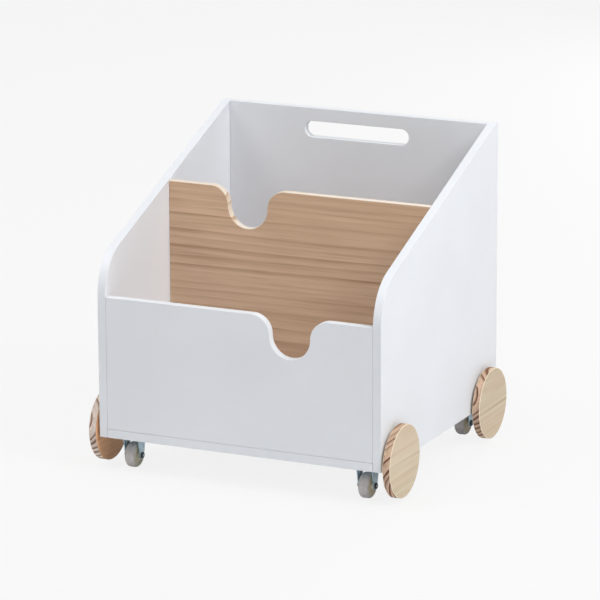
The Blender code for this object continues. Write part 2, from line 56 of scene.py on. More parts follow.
INNER_WALL = HALF_WIDTH - BOARD
INNER_END = INNER_WALL - SEAT_GAP
FLOOR_BOARD_TOP = CASE_BOTTOM + BOARD
FLOOR_BOARD_MIDDLE = CASE_BOTTOM + BOARD / 2
STANDING_FOOT = FLOOR_BOARD_TOP + SEAT_GAP
SIDES = {"left": -1, "right": 1}
ENDS = {"front": -1, "rear": 1}

# Dips and hand slot
DIP_OFFSET = 0.077
DIP_DEPTH = 0.057
BOWL_RADIUS = 0.030
SHOULDER_RADIUS = 0.0265
SLOT_LENGTH = 0.160
SLOT_HEIGHT = 0.023
SLOT_MARGIN = 0.019

# Arrises
BOARD_EASE = 0.0007
PINE_EASE = 0.0006
FITTING_EASE = 0.0003
METAL_EASE = 0.00018

# Pine discs, their spacers and bolts
DISC_RADIUS = 0.050
DISC_THICKNESS = 0.011
DISC_FACE = 0.2135
DISC_INSET = 0.046
DISC_EASE = 0.0008
DISC_BORE_END = 0.2213
SPACER_RADIUS = 0.012
BOLT_BORE = 0.0033
BOLT_BORE_DEPTH = 0.0183

# Cam fittings and dowels
CAM_RADIUS = 0.006
CAM_REACH = 0.024
CAM_END_INSET = 0.045
CAM_SKIN = 0.0025
CAM_TOP = BOARD / 2 - SEAT_GAP
CAM_FOOT = CAM_SKIN + SEAT_GAP - BOARD / 2
CAM_BOLT_BORE = 0.0031
CAM_THREAD_BORE = 0.0029
DOWEL_BORE = 0.0033
DOWEL_BORE_DEPTH = 0.0163
DOWEL_END_INSET = 0.050
BLIND_DEPTH = 0.009

# Channel of a cam, which takes its bolt, and the arrow that points along it
CHANNEL_INSET = 0.0023
CHANNEL_RISE = 0.0022
CHANNEL_HEIGHT = 0.009
CHANNEL_WIDTH = 0.0062
ARROW_INSET = 0.0016
ARROW_RADIUS = 0.0011
ARROW_TAPERED_RADIUS = 0.0008
ARROW_DEPTH = 0.0006

# Castors
CASTOR_INSET = 0.035
SHEET = 0.0016
BEND_RADIUS = 0.0014
PLATE_TOP = 0.0472
PLATE_FOOT = PLATE_TOP - SHEET
PLATE_LENGTH = 0.050
PLATE_CORNER = 0.004
PLATE_HALF_WIDTH = 0.009
LEG_OUTSIDE = 0.012
LEG_FACE = LEG_OUTSIDE - SHEET
LEG_TOP_WIDTH = 0.022
LEG_END_RADIUS = 0.0055
AXLE_Z = 0.0175
AXLE_RADIUS = 0.0025
AXLE_HEAD_RADIUS = 0.0046
AXLE_HEAD = 0.0014
DOME_RADIUS = 0.0008
DOME_DROP = 0.0012
DOME_TURN = 60
HEAD_CHAMFER = 0.0003
HOLLOW_RADIUS = 0.0018
HOLLOW_DEPTH = 0.0007
HOLLOW_TAPER = 0.0004
HOLLOW_LIP = 0.0001
WHEEL_RADIUS = 0.0175
WHEEL_HALF_WIDTH = 0.008
WHEEL_SHOULDER = 0.005
TREAD_JOINT = 31
TREAD_JOINT_WIDTH = 3
TREAD_JOINT_DEPTH = 0.00025
HUB_RADIUS = 0.006
HUB_HALF_WIDTH = 0.010
HUB_CHAMFER = 0.0003
HUB_CROWN = 0.0005
WEB_RADIUS = 0.0105
WEB_RECESS = 0.0008
WEB_FILLET = 0.0006
WEB_LIP = (0.0003, 0.0002)
SCREW_SPACING = 0.039
SCREW_RADIUS = 0.0018
SCREW_HEAD = 0.0018
SCREW_SEAT_RADIUS = 0.0034
SCREW_POINT = 0.003

# Beads of a bracket: half the width and half the length of the rib inside and of the dent outside
BEAD_OFFSET = 0.0036
BEAD_MIDDLE = 0.0362
BEAD_DEPTH = 0.0012
BEAD_RIB = (0.0017, 0.0088)
BEAD_DENT = (0.0012, 0.0080)

# Pan head: radius and height from its crown to its rim
PAN_HEAD = ((0.0018, 0), (0.0026, 0.0002), (0.0032, 0.0007), (0.0035, 0.0014))

# Cross recesses: width, thickness of a blade, depth
SCREW_CROSS = (0.0036, 0.0007, 0.0011)
CAM_CROSS = (0.0058, 0.0012, 0.0016)
CROSS_TAPER = 0.55

# Steps of the round shapes, all the way round where the name says sides
CORNER_STEPS = 28
SHOULDER_STEPS = 14
BOWL_STEPS = 32
SLOT_END_STEPS = 32
LEG_END_STEPS = 20
BEND_STEPS = 8
DOME_STEPS = 6
BORE_SIDES = 24
POCKET_SIDES = 40
BRACKET_BORE_SIDES = 28
DISC_SIDES = 144
SPACER_SIDES = 64
CAM_SIDES = 64
AXLE_SIDES = 48
WHEEL_SIDES = 96
SCREW_SIDES = 40

# How near points are before they are merged, and how near a place a point is before it counts as there
WELD = 1e-6
NEAR = 1e-5

# Pine: how far the rings waver, and the band along a disc's arris that gets a painted highlight
PINE_WAVER = 0.016
ARRIS_LIGHT_FROM = 0.0010
ARRIS_LIGHT_FULL = 0.0005

# Camera, fitted to the corners of the case in the photograph
CAMERA_TARGET = Vector((0.0039, -0.0100, 0.21793))
CAMERA_DISTANCE = 5.6133
CAMERA_AZIMUTH = 25.061
CAMERA_ELEVATION = 14.513
CAMERA_ROLL = -0.2465
CAMERA_LENS = 245.08
CAMERA_SENSOR = 36
CAMERA_SIGHT = 100

# Floor as the camera sees it: mostly a glow of its own, and a little light that the shadow takes away
FLOOR_SIZE = 40
SHADOW_SHARE = (0.055, 0.055, 0.055)
FLOOR_GLOW = (0.842, 0.842, 0.842)

# Light of the room, and lamps that look at the middle of the case: name, place, size, power
AMBIENT = 0.14
LAMP_AIM = (0, 0, 0.2)
LAMPS = (
    ("right softbox", (2.4, -0.6, 2.6), 1.8, 76),
    ("left softbox", (-1.7, -1.0, 2.4), 1.8, 32),
    ("overhead softbox", (0.3, -0.6, 3.0), 2.2, 8),
    ("front softbox", (1.3, -3.2, 1.4), 2.0, 5),
    ("low left softbox", (-2.4, -2.2, 1.6), 2.0, 4),
    ("low rear softbox", (0.1, 3.2, 0.6), 0.9, 20),
)

# Directions in which an arc turns from its first axis to its second
Y_TO_Z = (1, 0, 0)
X_TO_Z = (0, -1, 0)
X_TO_Y = (0, 0, 1)


def deselect():
    bpy.ops.object.select_all(action="DESELECT")


def take(piece):
    deselect()
    piece.select_set(True)
    bpy.context.view_layer.objects.active = piece


def settle(piece):
    """Puts the piece's place into its mesh."""
    take(piece)
    bpy.ops.object.transform_apply(location=True, rotation=True, scale=True)


def modify(piece, kind, **settings):
    take(piece)
    modifier = piece.modifiers.new(kind.title(), kind)
    for name, value in settings.items():
        setattr(modifier, name, value)
    bpy.ops.object.modifier_apply(modifier=modifier.name)


def ease(piece, width, steps=3, angle=40):
    """Rounds every arris that is sharper than the angle."""
    limit = math.radians(angle)
    modify(piece, "BEVEL", width=width, segments=steps, limit_method="ANGLE", angle_limit=limit)


def shade(piece, angle=35):
    """Smooth shading that keeps the broad faces flat."""
    take(piece)
    bpy.ops.object.shade_smooth_by_angle(angle=math.radians(angle))
    modify(piece, "WEIGHTED_NORMAL", keep_sharp=True)


def turned_back(angle):
    """The spin operator turns clockwise, so an angle is given to it with its sign changed."""
    return -math.radians(angle)


def trace(name, first, moves, axis):
    """Draws a chain of edges from a point: straight to each point, or round (centre, degrees, steps)."""
    bpy.ops.mesh.primitive_plane_add(size=BOARD, location=first)
    line = bpy.context.object
    line.name = name
    bpy.ops.object.mode_set(mode="EDIT")
    bpy.ops.mesh.merge(type="CENTER")
    pen = Vector(first)
    for move in moves:
        if isinstance(move[0], (int, float)):
            step = Vector(move) - pen
            bpy.ops.mesh.extrude_region_move(TRANSFORM_OT_translate={"value": step})
            pen += step
        else:
            centre, angle, steps = move
            bpy.ops.mesh.spin(steps=steps, angle=turned_back(angle), center=centre, axis=axis)
            pen = Vector(centre) + Matrix.Rotation(math.radians(angle), 3, axis) @ (pen - Vector(centre))
    bpy.ops.mesh.select_all(action="SELECT")
    bpy.ops.mesh.remove_doubles(threshold=WELD)
    bpy.ops.object.mode_set(mode="OBJECT")
    settle(line)
    return line


def tidy_shell(piece):
    """Merges doubled points and turns all faces outwards."""
    take(piece)
    bpy.ops.object.mode_set(mode="EDIT")
    bpy.ops.mesh.select_all(action="SELECT")
    bpy.ops.mesh.remove_doubles(threshold=WELD)
    bpy.ops.mesh.normals_make_consistent(inside=False)
    bpy.ops.object.mode_set(mode="OBJECT")


def slab(outline, through):
    """Fills a closed outline and extrudes it."""
    take(outline)
    bpy.ops.object.mode_set(mode="EDIT")
    bpy.ops.mesh.select_all(action="SELECT")
    bpy.ops.mesh.edge_face_add()
    bpy.ops.mesh.extrude_region_move(TRANSFORM_OT_translate={"value": through})
    bpy.ops.object.mode_set(mode="OBJECT")
    tidy_shell(outline)
    return outline


def lathe(profile, centre, axis, sides):
    """Spins a profile all the way round."""
    take(profile)
    bpy.ops.object.mode_set(mode="EDIT")
    bpy.ops.mesh.select_all(action="SELECT")
    bpy.ops.mesh.spin(steps=sides, angle=turned_back(360), center=centre, axis=axis)
    bpy.ops.object.mode_set(mode="OBJECT")
    tidy_shell(profile)
    return profile


def cut(piece, cutter, operation="DIFFERENCE"):
    """Cuts a solid away from the piece, or adds it, and uses it up."""
    modify(piece, "BOOLEAN", operation=operation, solver="EXACT", object=cutter)
    bpy.data.objects.remove(cutter)


def joined(pieces):
    deselect()
    for piece in pieces:
        piece.select_set(True)
    bpy.context.view_layer.objects.active = pieces[0]
    bpy.ops.object.join()
    return pieces[0]


def drill(piece, holes, sides=BORE_SIDES):
    """Drills round holes, each given as its start, its end and its radius."""
    bits = []
    for start, end, radius in holes:
        run = Vector(end) - Vector(start)
        bpy.ops.mesh.primitive_cylinder_add(
            vertices=sides,
            radius=radius,
            depth=run.length,
            location=Vector(start) + run / 2,
            rotation=run.to_track_quat("Z", "Y").to_euler(),
        )
        bits.append(bpy.context.object)
    cut(piece, joined(bits))


def pick(piece, kind, test):
    """Selects the piece's faces, edges or verts that pass the test, and leaves it in edit mode."""
    take(piece)
    bpy.ops.object.mode_set(mode="EDIT")
    bpy.ops.mesh.select_mode(type={"faces": "FACE", "edges": "EDGE", "verts": "VERT"}[kind])
    bpy.ops.mesh.select_all(action="DESELECT")
    bm = bmesh.from_edit_mesh(piece.data)
    for item in getattr(bm, kind):
        if test(item):
            item.select_set(True)
    bm.select_flush_mode()
    bmesh.update_edit_mesh(piece.data)


def leave():
    bpy.ops.mesh.select_mode(type="VERT")
    bpy.ops.object.mode_set(mode="OBJECT")


def drop_faces(piece, test):
    pick(piece, "faces", test)
    bpy.ops.mesh.delete(type="ONLY_FACE")
    leave()


def settle_scale(piece):
    """Puts only the piece's scale into its mesh."""
    take(piece)
    bpy.ops.object.transform_apply(location=False, rotation=False, scale=True)


def recess(piece, mouth, inward, width, blade, depth):
    """Cuts a cross recess with tapered blades."""
    blades = []
    inward = Vector(inward)
    turn = inward.to_track_quat("Z", "Y")
    for quarter in (0, 90):
        bpy.ops.mesh.primitive_cube_add(size=1, location=Vector(mouth), scale=(width, blade, 2 * depth))
        blade_box = bpy.context.object
        settle_scale(blade_box)
        blade_box.rotation_mode = "QUATERNION"
        blade_box.rotation_quaternion = turn @ Euler((0, 0, math.radians(quarter))).to_quaternion()
        settle(blade_box)
        far = Vector(mouth) + inward * depth
        pick(blade_box, "verts", lambda vert: (vert.co - far).dot(inward) > -depth / 2)
        bpy.ops.transform.resize(value=(CROSS_TAPER,) * 3, center_override=far)
        leave()
        blades.append(blade_box)
    for blade_box in blades:
        cut(piece, blade_box)


def paint_faces(piece, layer, test):
    """Gives the faces whose middle passes the test another layer of the piece's finish."""
    for face in piece.data.polygons:
        if test(face.center):
            face.material_index = layer


def copied(piece, name, offset=(0, 0, 0), turn=0):
    """A copy with its own mesh, turned about the upright axis and moved."""
    twin = piece.copy()
    twin.data = piece.data.copy()
    twin.name = name
    bpy.context.scene.collection.objects.link(twin)
    twin.rotation_euler.z = math.radians(turn)
    twin.location = offset
    settle(twin)
    return twin


def hand_over(piece, finish, slot, body, *nodes):
    """Gives a piece its finish, or its list of finishes, and lets it stand for its nodes."""
    for layer in finish if isinstance(finish, list) else [finish]:
        piece.data.materials.append(layer)
    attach(piece, body)
    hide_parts(*nodes)


class Signal:
    """An output socket of a finish. Arithmetic on it adds Math nodes."""

    def __init__(self, finish, socket):
        self.finish = finish
        self.socket = socket

    def math(self, operation, *values):
        sockets = dict(zip(("Value", "Value_001", "Value_002"), values))
        return self.finish.node("ShaderNodeMath", {"operation": operation}, sockets)

    def __add__(self, other):
        return self.math("ADD", self, other)

    def __rsub__(self, other):
        return self.math("SUBTRACT", other, self)

    def __mul__(self, other):
        return self.math("MULTIPLY", self, other)

    def __truediv__(self, other):
        return self.math("DIVIDE", self, other)

    def __pow__(self, other):
        return self.math("POWER", self, other)

    def __abs__(self):
        return self.math("ABSOLUTE", self)

    __radd__ = __add__
    __rmul__ = __mul__

    def whole(self):
        return self.math("FLOOR", self)

    def part(self):
        return self.math("FRACT", self)

    def between(self, low, high):
        """0 below low, 1 above high, smooth between them."""
        settings = {"interpolation_type": "SMOOTHSTEP"}
        sockets = {"Value": self, "From Min": low, "From Max": high}
        return self.finish.node("ShaderNodeMapRange", settings, sockets)


class Finish:
    """A material in the making, or the world's light."""

    def __init__(self, owner):
        owner.use_nodes = True
        self.tree = owner.node_tree
        self.owner = owner

    def feed(self, socket, value):
        if isinstance(value, Signal):
            self.tree.links.new(value.socket, socket)
        elif socket.type == "RGBA":
            socket.default_value = (*value[:3], 1)
        else:
            socket.default_value = value

    def node(self, kind, settings=None, sockets=None, output=0):
        made = self.tree.nodes.new(kind)
        for name, value in (settings or {}).items():
            setattr(made, name, value)
        inputs = {socket.identifier: socket for socket in made.inputs}
        for name, value in (sockets or {}).items():
            self.feed(inputs[name], value)
        return Signal(self, made.outputs[output])

    def surface(self, **values):
        shader = self.tree.nodes["Principled BSDF"]
        for name, value in values.items():
            self.feed(shader.inputs[name.replace("_", " ").title()], value)

    def place(self):
        return self.node("ShaderNodeTexCoord", output="Object")

    def vector(self, operation, first, second, output="Vector"):
        sockets = {"Vector": first, "Vector_001": second}
        return self.node("ShaderNodeVectorMath", {"operation": operation}, sockets, output)

    def scaled(self, vector, scale):
        return self.vector("MULTIPLY", vector, scale)

    def length(self, vector):
        return self.vector("LENGTH", vector, (0, 0, 0), "Value")

    def noise(self, vector, scale, detail, output="Fac"):
        sockets = {"Vector": vector, "Scale": scale, "Detail": detail}
        return self.node("ShaderNodeTexNoise", None, sockets, output)

    def mix(self, first, second, factor):
        sockets = {"Factor_Float": factor, "A_Color": first, "B_Color": second}
        return self.node("ShaderNodeMix", {"data_type": "RGBA"}, sockets, "Result")

    def bump(self, height, distance, strength):
        sockets = {"Height": height, "Distance": distance, "Strength": strength}
        return self.node("ShaderNodeBump", None, sockets)

    def seen_as_background(self):
        """1 for the camera and in reflections, 0 for the light that falls on the object."""
        camera, glossy, through = [
            self.node("ShaderNodeLightPath", output=f"Is {ray} Ray")
            for ray in ("Camera", "Glossy", "Transmission")
        ]
        either = camera.math("MAXIMUM", camera, glossy)
        return either.math("MAXIMUM", either, through)


def paint(red, green, blue):
    """A colour as picked on a screen, made linear."""
    return tuple(((part / 255 + 0.055) / 1.055) ** 2.4 for part in (red, green, blue))


def new_finish(name):
    return Finish(bpy.data.materials.new(name))


def white_lacquer():
    """Sprayed satin lacquer: a faint orange peel and a faint unevenness of sheen."""
    finish = new_finish("white satin lacquer")
    place = finish.place()
    cloud = finish.noise(place, scale=9, detail=3)
    peel = finish.noise(place, scale=420, detail=2)
    colour = finish.mix(paint(243, 246, 251), paint(240, 243, 248), cloud.between(0.3, 0.7))
    finish.surface(
        base_color=colour,
        roughness=0.36 + 0.1 * cloud,
        normal=finish.bump(peel, distance=0.00002, strength=0.5),
    )
    return finish.owner


def stretched_noise(finish, place, across, along, scale, detail, output="Fac"):
    """Noise that is drawn out along the grain."""
    return finish.noise(finish.scaled(place, across + along), scale, detail, output)


def pine(name, grain, broad, heart, ring, wander, softness, tones, arris=None):
    """Solid pine: wavering rings about a heart line along the grain, with streaks and fibres.

    Broad is the direction that the broad faces look in. Ring is the width of a ring, wander the number of
    rings by which they drift, and softness the strength of the bands on a broad face. Tones go from spring
    to summer wood on a broad face, on end grain and on an edge along the grain. Arris gives a disc's
    middle, radius and half thickness, for a painted highlight along its arrises.
    """
    finish = new_finish(name)
    along = Vector((1, 0, 0)) if grain == "X" else Vector((0, 1, 0))
    across = Vector((1, 1, 1)) - along
    spot = finish.place()
    place = finish.vector("SUBTRACT", spot, heart)
    slow = stretched_noise(finish, place, across, along * 0.12, 11, 2, "Color")
    waver = finish.scaled(finish.vector("SUBTRACT", slow, (0.5, 0.5, 0.5)), (PINE_WAVER,) * 3)
    radius = finish.length(finish.scaled(finish.vector("ADD", place, waver), across))
    drift = finish.noise(finish.scaled(place, across * 34), scale=1, detail=1)
    count = radius / ring + wander * drift
    vigour = finish.node("ShaderNodeTexWhiteNoise", {"noise_dimensions": "1D"}, {"W": count.whole()})
    part = count.part()
    summer = part**2.4 * (1 - part**16) * (0.25 + 1.1 * vigour)
    line = part**3 * (1 - part**20) * (0.1 + 2.2 * vigour)
    fibre = stretched_noise(finish, place, across, along * 0.02, 900, 2)
    thread = stretched_noise(finish, place, across, along * 0.025, 330, 2)
    streak = stretched_noise(finish, place, across, along * 0.03, 130, 3)
    patch = stretched_noise(finish, place, across, along * 0.2, 26, 2)
    normal = finish.node("ShaderNodeTexCoord", output="Normal")
    end = abs(finish.vector("DOT_PRODUCT", normal, along, "Value")).between(0.25, 0.9)
    edge = 1 - abs(finish.vector("DOT_PRODUCT", normal, broad, "Value")).between(0.4, 0.8)
    bands = softness * summer + 0.30 * streak.between(0.35, 0.75) + 0.26 * thread.between(0.5, 0.72)
    ticks = 1.45 * line + 0.22 * streak.between(0.4, 0.7) + 0.2 * thread.between(0.5, 0.72)
    face, side, sawn = [
        finish.mix(*tones[where], depth)
        for where, depth in (("face", bands), ("edge", ticks), ("end", ticks))
    ]
    colour = finish.mix(finish.mix(face, side, edge), sawn, end)
    flat = 1 - 0.8 * edge
    colour = finish.mix(colour, finish.mix(colour, tones["patch"], 0.5), patch.between(0.35, 0.7) * flat)
    colour = finish.mix(colour, tones["face"][1], 0.2 * fibre.between(0.45, 0.8) * flat)
    # Painted highlight: a band along a disc's arrises takes the arris tone, as an edge that catches the
    # light; on the left discs it is duller, within their painted shade
    if arris:
        middle, rim, face_end = arris
        out = finish.vector("SUBTRACT", spot, middle)
        from_axis = finish.length(finish.scaled(out, (0, 1, 1)))
        from_middle = abs(finish.vector("DOT_PRODUCT", out, (1, 0, 0), "Value"))
        at_rim = from_axis.between(rim - ARRIS_LIGHT_FROM, rim - ARRIS_LIGHT_FULL)
        at_face = from_middle.between(face_end - ARRIS_LIGHT_FROM, face_end - ARRIS_LIGHT_FULL)
        colour = finish.mix(colour, tones["arris_painted_light"], at_rim * at_face)
    height = fibre * 0.6 + summer * 0.4
    finish.surface(
        base_color=colour,
        roughness=0.52 + 0.18 * fibre,
        normal=finish.bump(height, distance=0.00012, strength=0.5),
    )
    return finish.owner


def metal(name, colour, dull, roughness):
    """Plated steel with a crystalline unevenness."""
    finish = new_finish(name)
    place = finish.place()
    patch = finish.noise(place, scale=260, detail=3)
    scratch = finish.noise(finish.scaled(place, (1, 1, 0.08)), scale=2600, detail=2)
    finish.surface(
        base_color=finish.mix(colour, dull, patch.between(0.35, 0.7)),
        metallic=0.9,
        roughness=roughness + 0.15 * patch,
        normal=finish.bump(scratch, distance=0.00001, strength=0.4),
    )
    return finish.owner


def moulded(name, colour, dull, roughness):
    """Moulded rubber or plastic with a fine matt surface and some dust."""
    finish = new_finish(name)
    place = finish.place()
    dust = finish.noise(place, scale=180, detail=4)
    matt = finish.noise(place, scale=2400, detail=2)
    finish.surface(
        base_color=finish.mix(colour, dull, dust.between(0.35, 0.75)),
        roughness=roughness + 0.12 * dust,
        normal=finish.bump(matt, distance=0.00002, strength=0.4),
    )
    return finish.owner


def beech():
    """Beech for the dowels, with flecks along them."""
    finish = new_finish("beech")
    place = finish.place()
    fleck = finish.noise(finish.scaled(place, (0.05, 1, 1)), scale=1500, detail=2)
    finish.surface(
        base_color=finish.mix(paint(214, 178, 138), paint(186, 146, 106), fleck.between(0.3, 0.7)),
        roughness=0.6 + 0.1 * fleck,
        normal=finish.bump(fleck, distance=0.00005, strength=0.4),
    )
    return finish.owner


def disc_finishes():
    """Pine for each disc, cut from the board at its own distance from the heart. The left discs take
    browner, warmer tones as painted shade.
    """
    pale = {
        "face": (paint(224, 212, 186), paint(190, 162, 128)),
        "end": (paint(224, 190, 162), paint(92, 38, 10)),
        "edge": (paint(226, 194, 164), paint(116, 66, 32)),
        "patch": paint(220, 192, 168),
        # Painted highlight tone for the band along the arrises
        "arris_painted_light": paint(250, 232, 206),
    }
    # Painted shade: browner, warmer tones for both left discs, standing in for the shade and warm bounce on
    # their inner faces
    painted_shade_brown = {
        "face": (paint(242, 188, 142), paint(208, 142, 96)),
        "end": (paint(242, 228, 218), paint(130, 94, 72)),
        "edge": (paint(246, 228, 208), paint(160, 120, 92)),
        "patch": paint(232, 184, 144),
        "arris_painted_light": paint(212, 174, 142),
    }
    finishes = {}
    for where, side, end, heart, tones in (
        ("front_right", 1, -1, (0.080, -0.067), pale),
        ("rear_right", 1, 1, (-0.021, 0.019), pale),
        ("front_left", -1, -1, (-0.020, 0.015), painted_shade_brown),
        ("rear_left", -1, 1, (-0.070, 0.060), painted_shade_brown),
    ):
        x = side * (DISC_FACE + DISC_THICKNESS / 2)
        y = end * (HALF_DEPTH - DISC_INSET)
        z = FLOOR_BOARD_MIDDLE
        finishes[f"disc_{where}"] = pine(
            f"pine disc {where}".replace("_", " "),
            grain="Y",
            broad=(1, 0, 0),
            heart=(x + heart[0], 0, z + heart[1]),
            ring=0.0058,
            wander=0.9,
            softness=0.42,
            tones=tones,
            arris=((x, y, z), DISC_RADIUS, DISC_THICKNESS / 2),
        )
    return finishes


def divider_finish():
    """Pine for the divider, with level grain and broad rings, and near white edges as a painted highlight.
    """
    tones = {
        "face": (paint(232, 198, 166), paint(176, 130, 96)),
        # Painted highlight: the end and edge tones are near white, as the top edge and the dip catch the
        # light
        "end": (paint(250, 236, 216), paint(206, 170, 134)),
        "edge": (paint(255, 250, 242), paint(234, 208, 180)),
        "patch": paint(212, 176, 144),
    }
    return pine(
        "pine board",
        grain="X",
        broad=(0, 1, 0),
        heart=(0, 0.055, 0.13),
        ring=0.0105,
        wander=1.5,
        softness=0.62,
        tones=tones,
    )


def make_finishes():
    finishes = disc_finishes()
    finishes["lacquer"] = white_lacquer()
    finishes["divider"] = divider_finish()
    finishes["zinc"] = metal("zinc plated steel", paint(170, 190, 201), paint(150, 170, 181), 0.34)
    # Near black finish for the heads of the axles
    finishes["dark"] = moulded("near black axle head", paint(36, 37, 40), paint(26, 27, 30), 0.45)
    finishes["die_cast"] = metal("die cast zinc", paint(176, 176, 176), paint(150, 150, 152), 0.5)
    finishes["tread"] = moulded("grey tread", paint(220, 216, 214), paint(203, 199, 197), 0.6)
    finishes["core"] = moulded("grey wheel core", paint(218, 211, 188), paint(198, 191, 168), 0.5)
    finishes["plastic"] = moulded("white plastic", paint(216, 216, 213), paint(204, 204, 200), 0.45)
    finishes["beech"] = beech()
    return finishes


def side_board(side_name, side):
    """A side: upright front, round corner, slope, short flat top over the back."""
    x = side * INNER_WALL
    centre = (CORNER_RADIUS - HALF_DEPTH, FRONT_TOP)
    run = HALF_DEPTH - BOARD - centre[0]
    rise = CASE_TOP - centre[1]
    slope = math.atan2(rise, run) - math.asin(CORNER_RADIUS / math.hypot(run, rise))
    touch_y = centre[0] - CORNER_RADIUS * math.sin(slope)
    touch_z = centre[1] + CORNER_RADIUS * math.cos(slope)
    moves = [
        (x, HALF_DEPTH, CASE_TOP),
        (x, HALF_DEPTH - BOARD, CASE_TOP),
        (x, touch_y, touch_z),
        ((x, *centre), 90 - math.degrees(slope), CORNER_STEPS),
        (x, -HALF_DEPTH, CASE_BOTTOM),
        (x, HALF_DEPTH, CASE_BOTTOM),
    ]
    outline = trace(f"{side_name}_side_board", (x, HALF_DEPTH, CASE_BOTTOM), moves, Y_TO_Z)
    board = slab(outline, (side * BOARD, 0, 0))
    ease(board, BOARD_EASE)
    depth = side * (BLIND_DEPTH + SEAT_GAP)
    near = x - side * SEAT_GAP
    holes = []
    for y, top in ((BOARD / 2 - HALF_DEPTH, FRONT_TOP), (HALF_DEPTH - BOARD / 2, CASE_TOP)):
        holes += [((near, y, z), (x + depth, y, z), CAM_THREAD_BORE) for z in cam_heights(top)]
    holes += [((near, 0, z), (x + depth, 0, z), DOWEL_BORE) for z in dowel_heights()]
    far = side * (HALF_WIDTH + SEAT_GAP)
    for end in ENDS.values():
        y = end * (HALF_DEPTH - DISC_INSET)
        holes.append(((near, y, FLOOR_BOARD_MIDDLE), (far, y, FLOOR_BOARD_MIDDLE), BOLT_BORE))
    drill(board, holes)
    shade(board)
    return board


def cam_heights(top):
    """Heights of the two cams at each end of a board."""
    return (STANDING_FOOT + CAM_END_INSET, top - CAM_END_INSET)


def dowel_heights():
    """Heights of the two dowels at each end of the divider."""
    return (STANDING_FOOT + DOWEL_END_INSET, DIVIDER_TOP - DOWEL_END_INSET)


def dipped_board(name, face_y, top, middle, easing):
    """A board between the sides with a dip in its top edge."""
    bowl_z = top - DIP_DEPTH + BOWL_RADIUS
    shoulder_z = top - SHOULDER_RADIUS
    reach = math.sqrt((BOWL_RADIUS + SHOULDER_RADIUS) ** 2 - (bowl_z - shoulder_z) ** 2)
    lean = math.degrees(math.asin((bowl_z - shoulder_z) / (BOWL_RADIUS + SHOULDER_RADIUS)))
    moves = [
        (INNER_END, face_y, top),
        (middle + reach, face_y, top),
        ((middle + reach, face_y, shoulder_z), 90 - lean, SHOULDER_STEPS),
        ((middle, face_y, bowl_z), 2 * lean - 180, BOWL_STEPS),
        ((middle - reach, face_y, shoulder_z), 90 - lean, SHOULDER_STEPS),
        (-INNER_END, face_y, top),
        (-INNER_END, face_y, STANDING_FOOT),
        (INNER_END, face_y, STANDING_FOOT),
    ]
    outline = trace(name, (INNER_END, face_y, STANDING_FOOT), moves, X_TO_Z)
    board = slab(outline, (0, BOARD, 0))
    ease(board, easing)
    return board


def drill_for_cams(board, face_y, top):
    """Pockets for the cams, open to the rear, and the bolts' bores from the ends."""
    pockets = []
    bores = []
    middle_y = face_y + BOARD / 2
    for side in SIDES.values():
        for z in cam_heights(top):
            x = side * (INNER_END - CAM_REACH)
            mouth = (x, face_y + BOARD + SEAT_GAP, z)
            pockets.append(((x, face_y + CAM_SKIN, z), mouth, CAM_RADIUS + SEAT_GAP))
            start = (side * (INNER_END - CAM_REACH - CAM_RADIUS / 2), middle_y, z)
            bores.append((start, (side * INNER_WALL, middle_y, z), CAM_BOLT_BORE))
    drill(board, pockets, POCKET_SIDES)
    drill(board, bores)


def front_board():
    board = dipped_board("front_board", -HALF_DEPTH, FRONT_TOP, DIP_OFFSET, BOARD_EASE)
    drill_for_cams(board, -HALF_DEPTH, FRONT_TOP)
    shade(board)
    return board


def divider_board():
    board = dipped_board("divider_board", -BOARD / 2, DIVIDER_TOP, -DIP_OFFSET, PINE_EASE)
    holes = []
    for side in SIDES.values():
        for z in dowel_heights():
            start = (side * (INNER_END - DOWEL_BORE_DEPTH), 0, z)
            holes.append((start, (side * INNER_WALL, 0, z), DOWEL_BORE))
    drill(board, holes)
    shade(board)
    return board


def back_board():
    """The back, drawn as its right half round half of the hand slot, and mirrored."""
    face_y = HALF_DEPTH - BOARD
    radius = SLOT_HEIGHT / 2
    slot_z = CASE_TOP - SLOT_MARGIN - radius
    straight = SLOT_LENGTH / 2 - radius
    moves = [
        (INNER_END, face_y, STANDING_FOOT),
        (INNER_END, face_y, CASE_TOP),
        (0, face_y, CASE_TOP),
        (0, face_y, slot_z + radius),
        (straight, face_y, slot_z + radius),
        ((straight, face_y, slot_z), -180, SLOT_END_STEPS),
        (0, face_y, slot_z - radius),
        (0, face_y, STANDING_FOOT),
    ]
    outline = trace("back_board", (0, face_y, STANDING_FOOT), moves, X_TO_Z)
    board = slab(outline, (0, BOARD, 0))
    drop_faces(board, lambda face: abs(face.calc_center_median().x) < SEAT_GAP and abs(face.normal.x) > 0.9)
    modify(board, "MIRROR", use_axis=(True, False, False), use_mirror_merge=True, merge_threshold=WELD)
    tidy_shell(board)
    ease(board, BOARD_EASE)
    drill_for_cams(board, face_y, CASE_TOP)
    shade(board)
    return board


def bottom_board():
    """The bottom, with bores for the disc bolts in its ends and for the castor screws from below."""
    bpy.ops.mesh.primitive_cube_add(
        size=1,
        location=(0, 0, FLOOR_BOARD_MIDDLE),
        scale=(2 * INNER_END, 2 * HALF_DEPTH, BOARD),
    )
    board = bpy.context.object
    board.name = "bottom_board"
    settle(board)
    ease(board, BOARD_EASE)
    holes = []
    for side in SIDES.values():
        for end in ENDS.values():
            y = end * (HALF_DEPTH - DISC_INSET)
            start = (side * (INNER_END - BOLT_BORE_DEPTH), y, FLOOR_BOARD_MIDDLE)
            holes.append((start, (side * INNER_WALL, y, FLOOR_BOARD_MIDDLE), BOLT_BORE))
            for way in (-1, 1):
                x = side * (HALF_WIDTH - CASTOR_INSET)
                y = end * (HALF_DEPTH - CASTOR_INSET) + way * SCREW_SPACING / 2
                foot, top = CASE_BOTTOM - SEAT_GAP, CASE_BOTTOM + BLIND_DEPTH + SEAT_GAP
                holes.append(((x, y, foot), (x, y, top), SCREW_RADIUS + SEAT_GAP))
    drill(board, holes)
    shade(board)
    return board


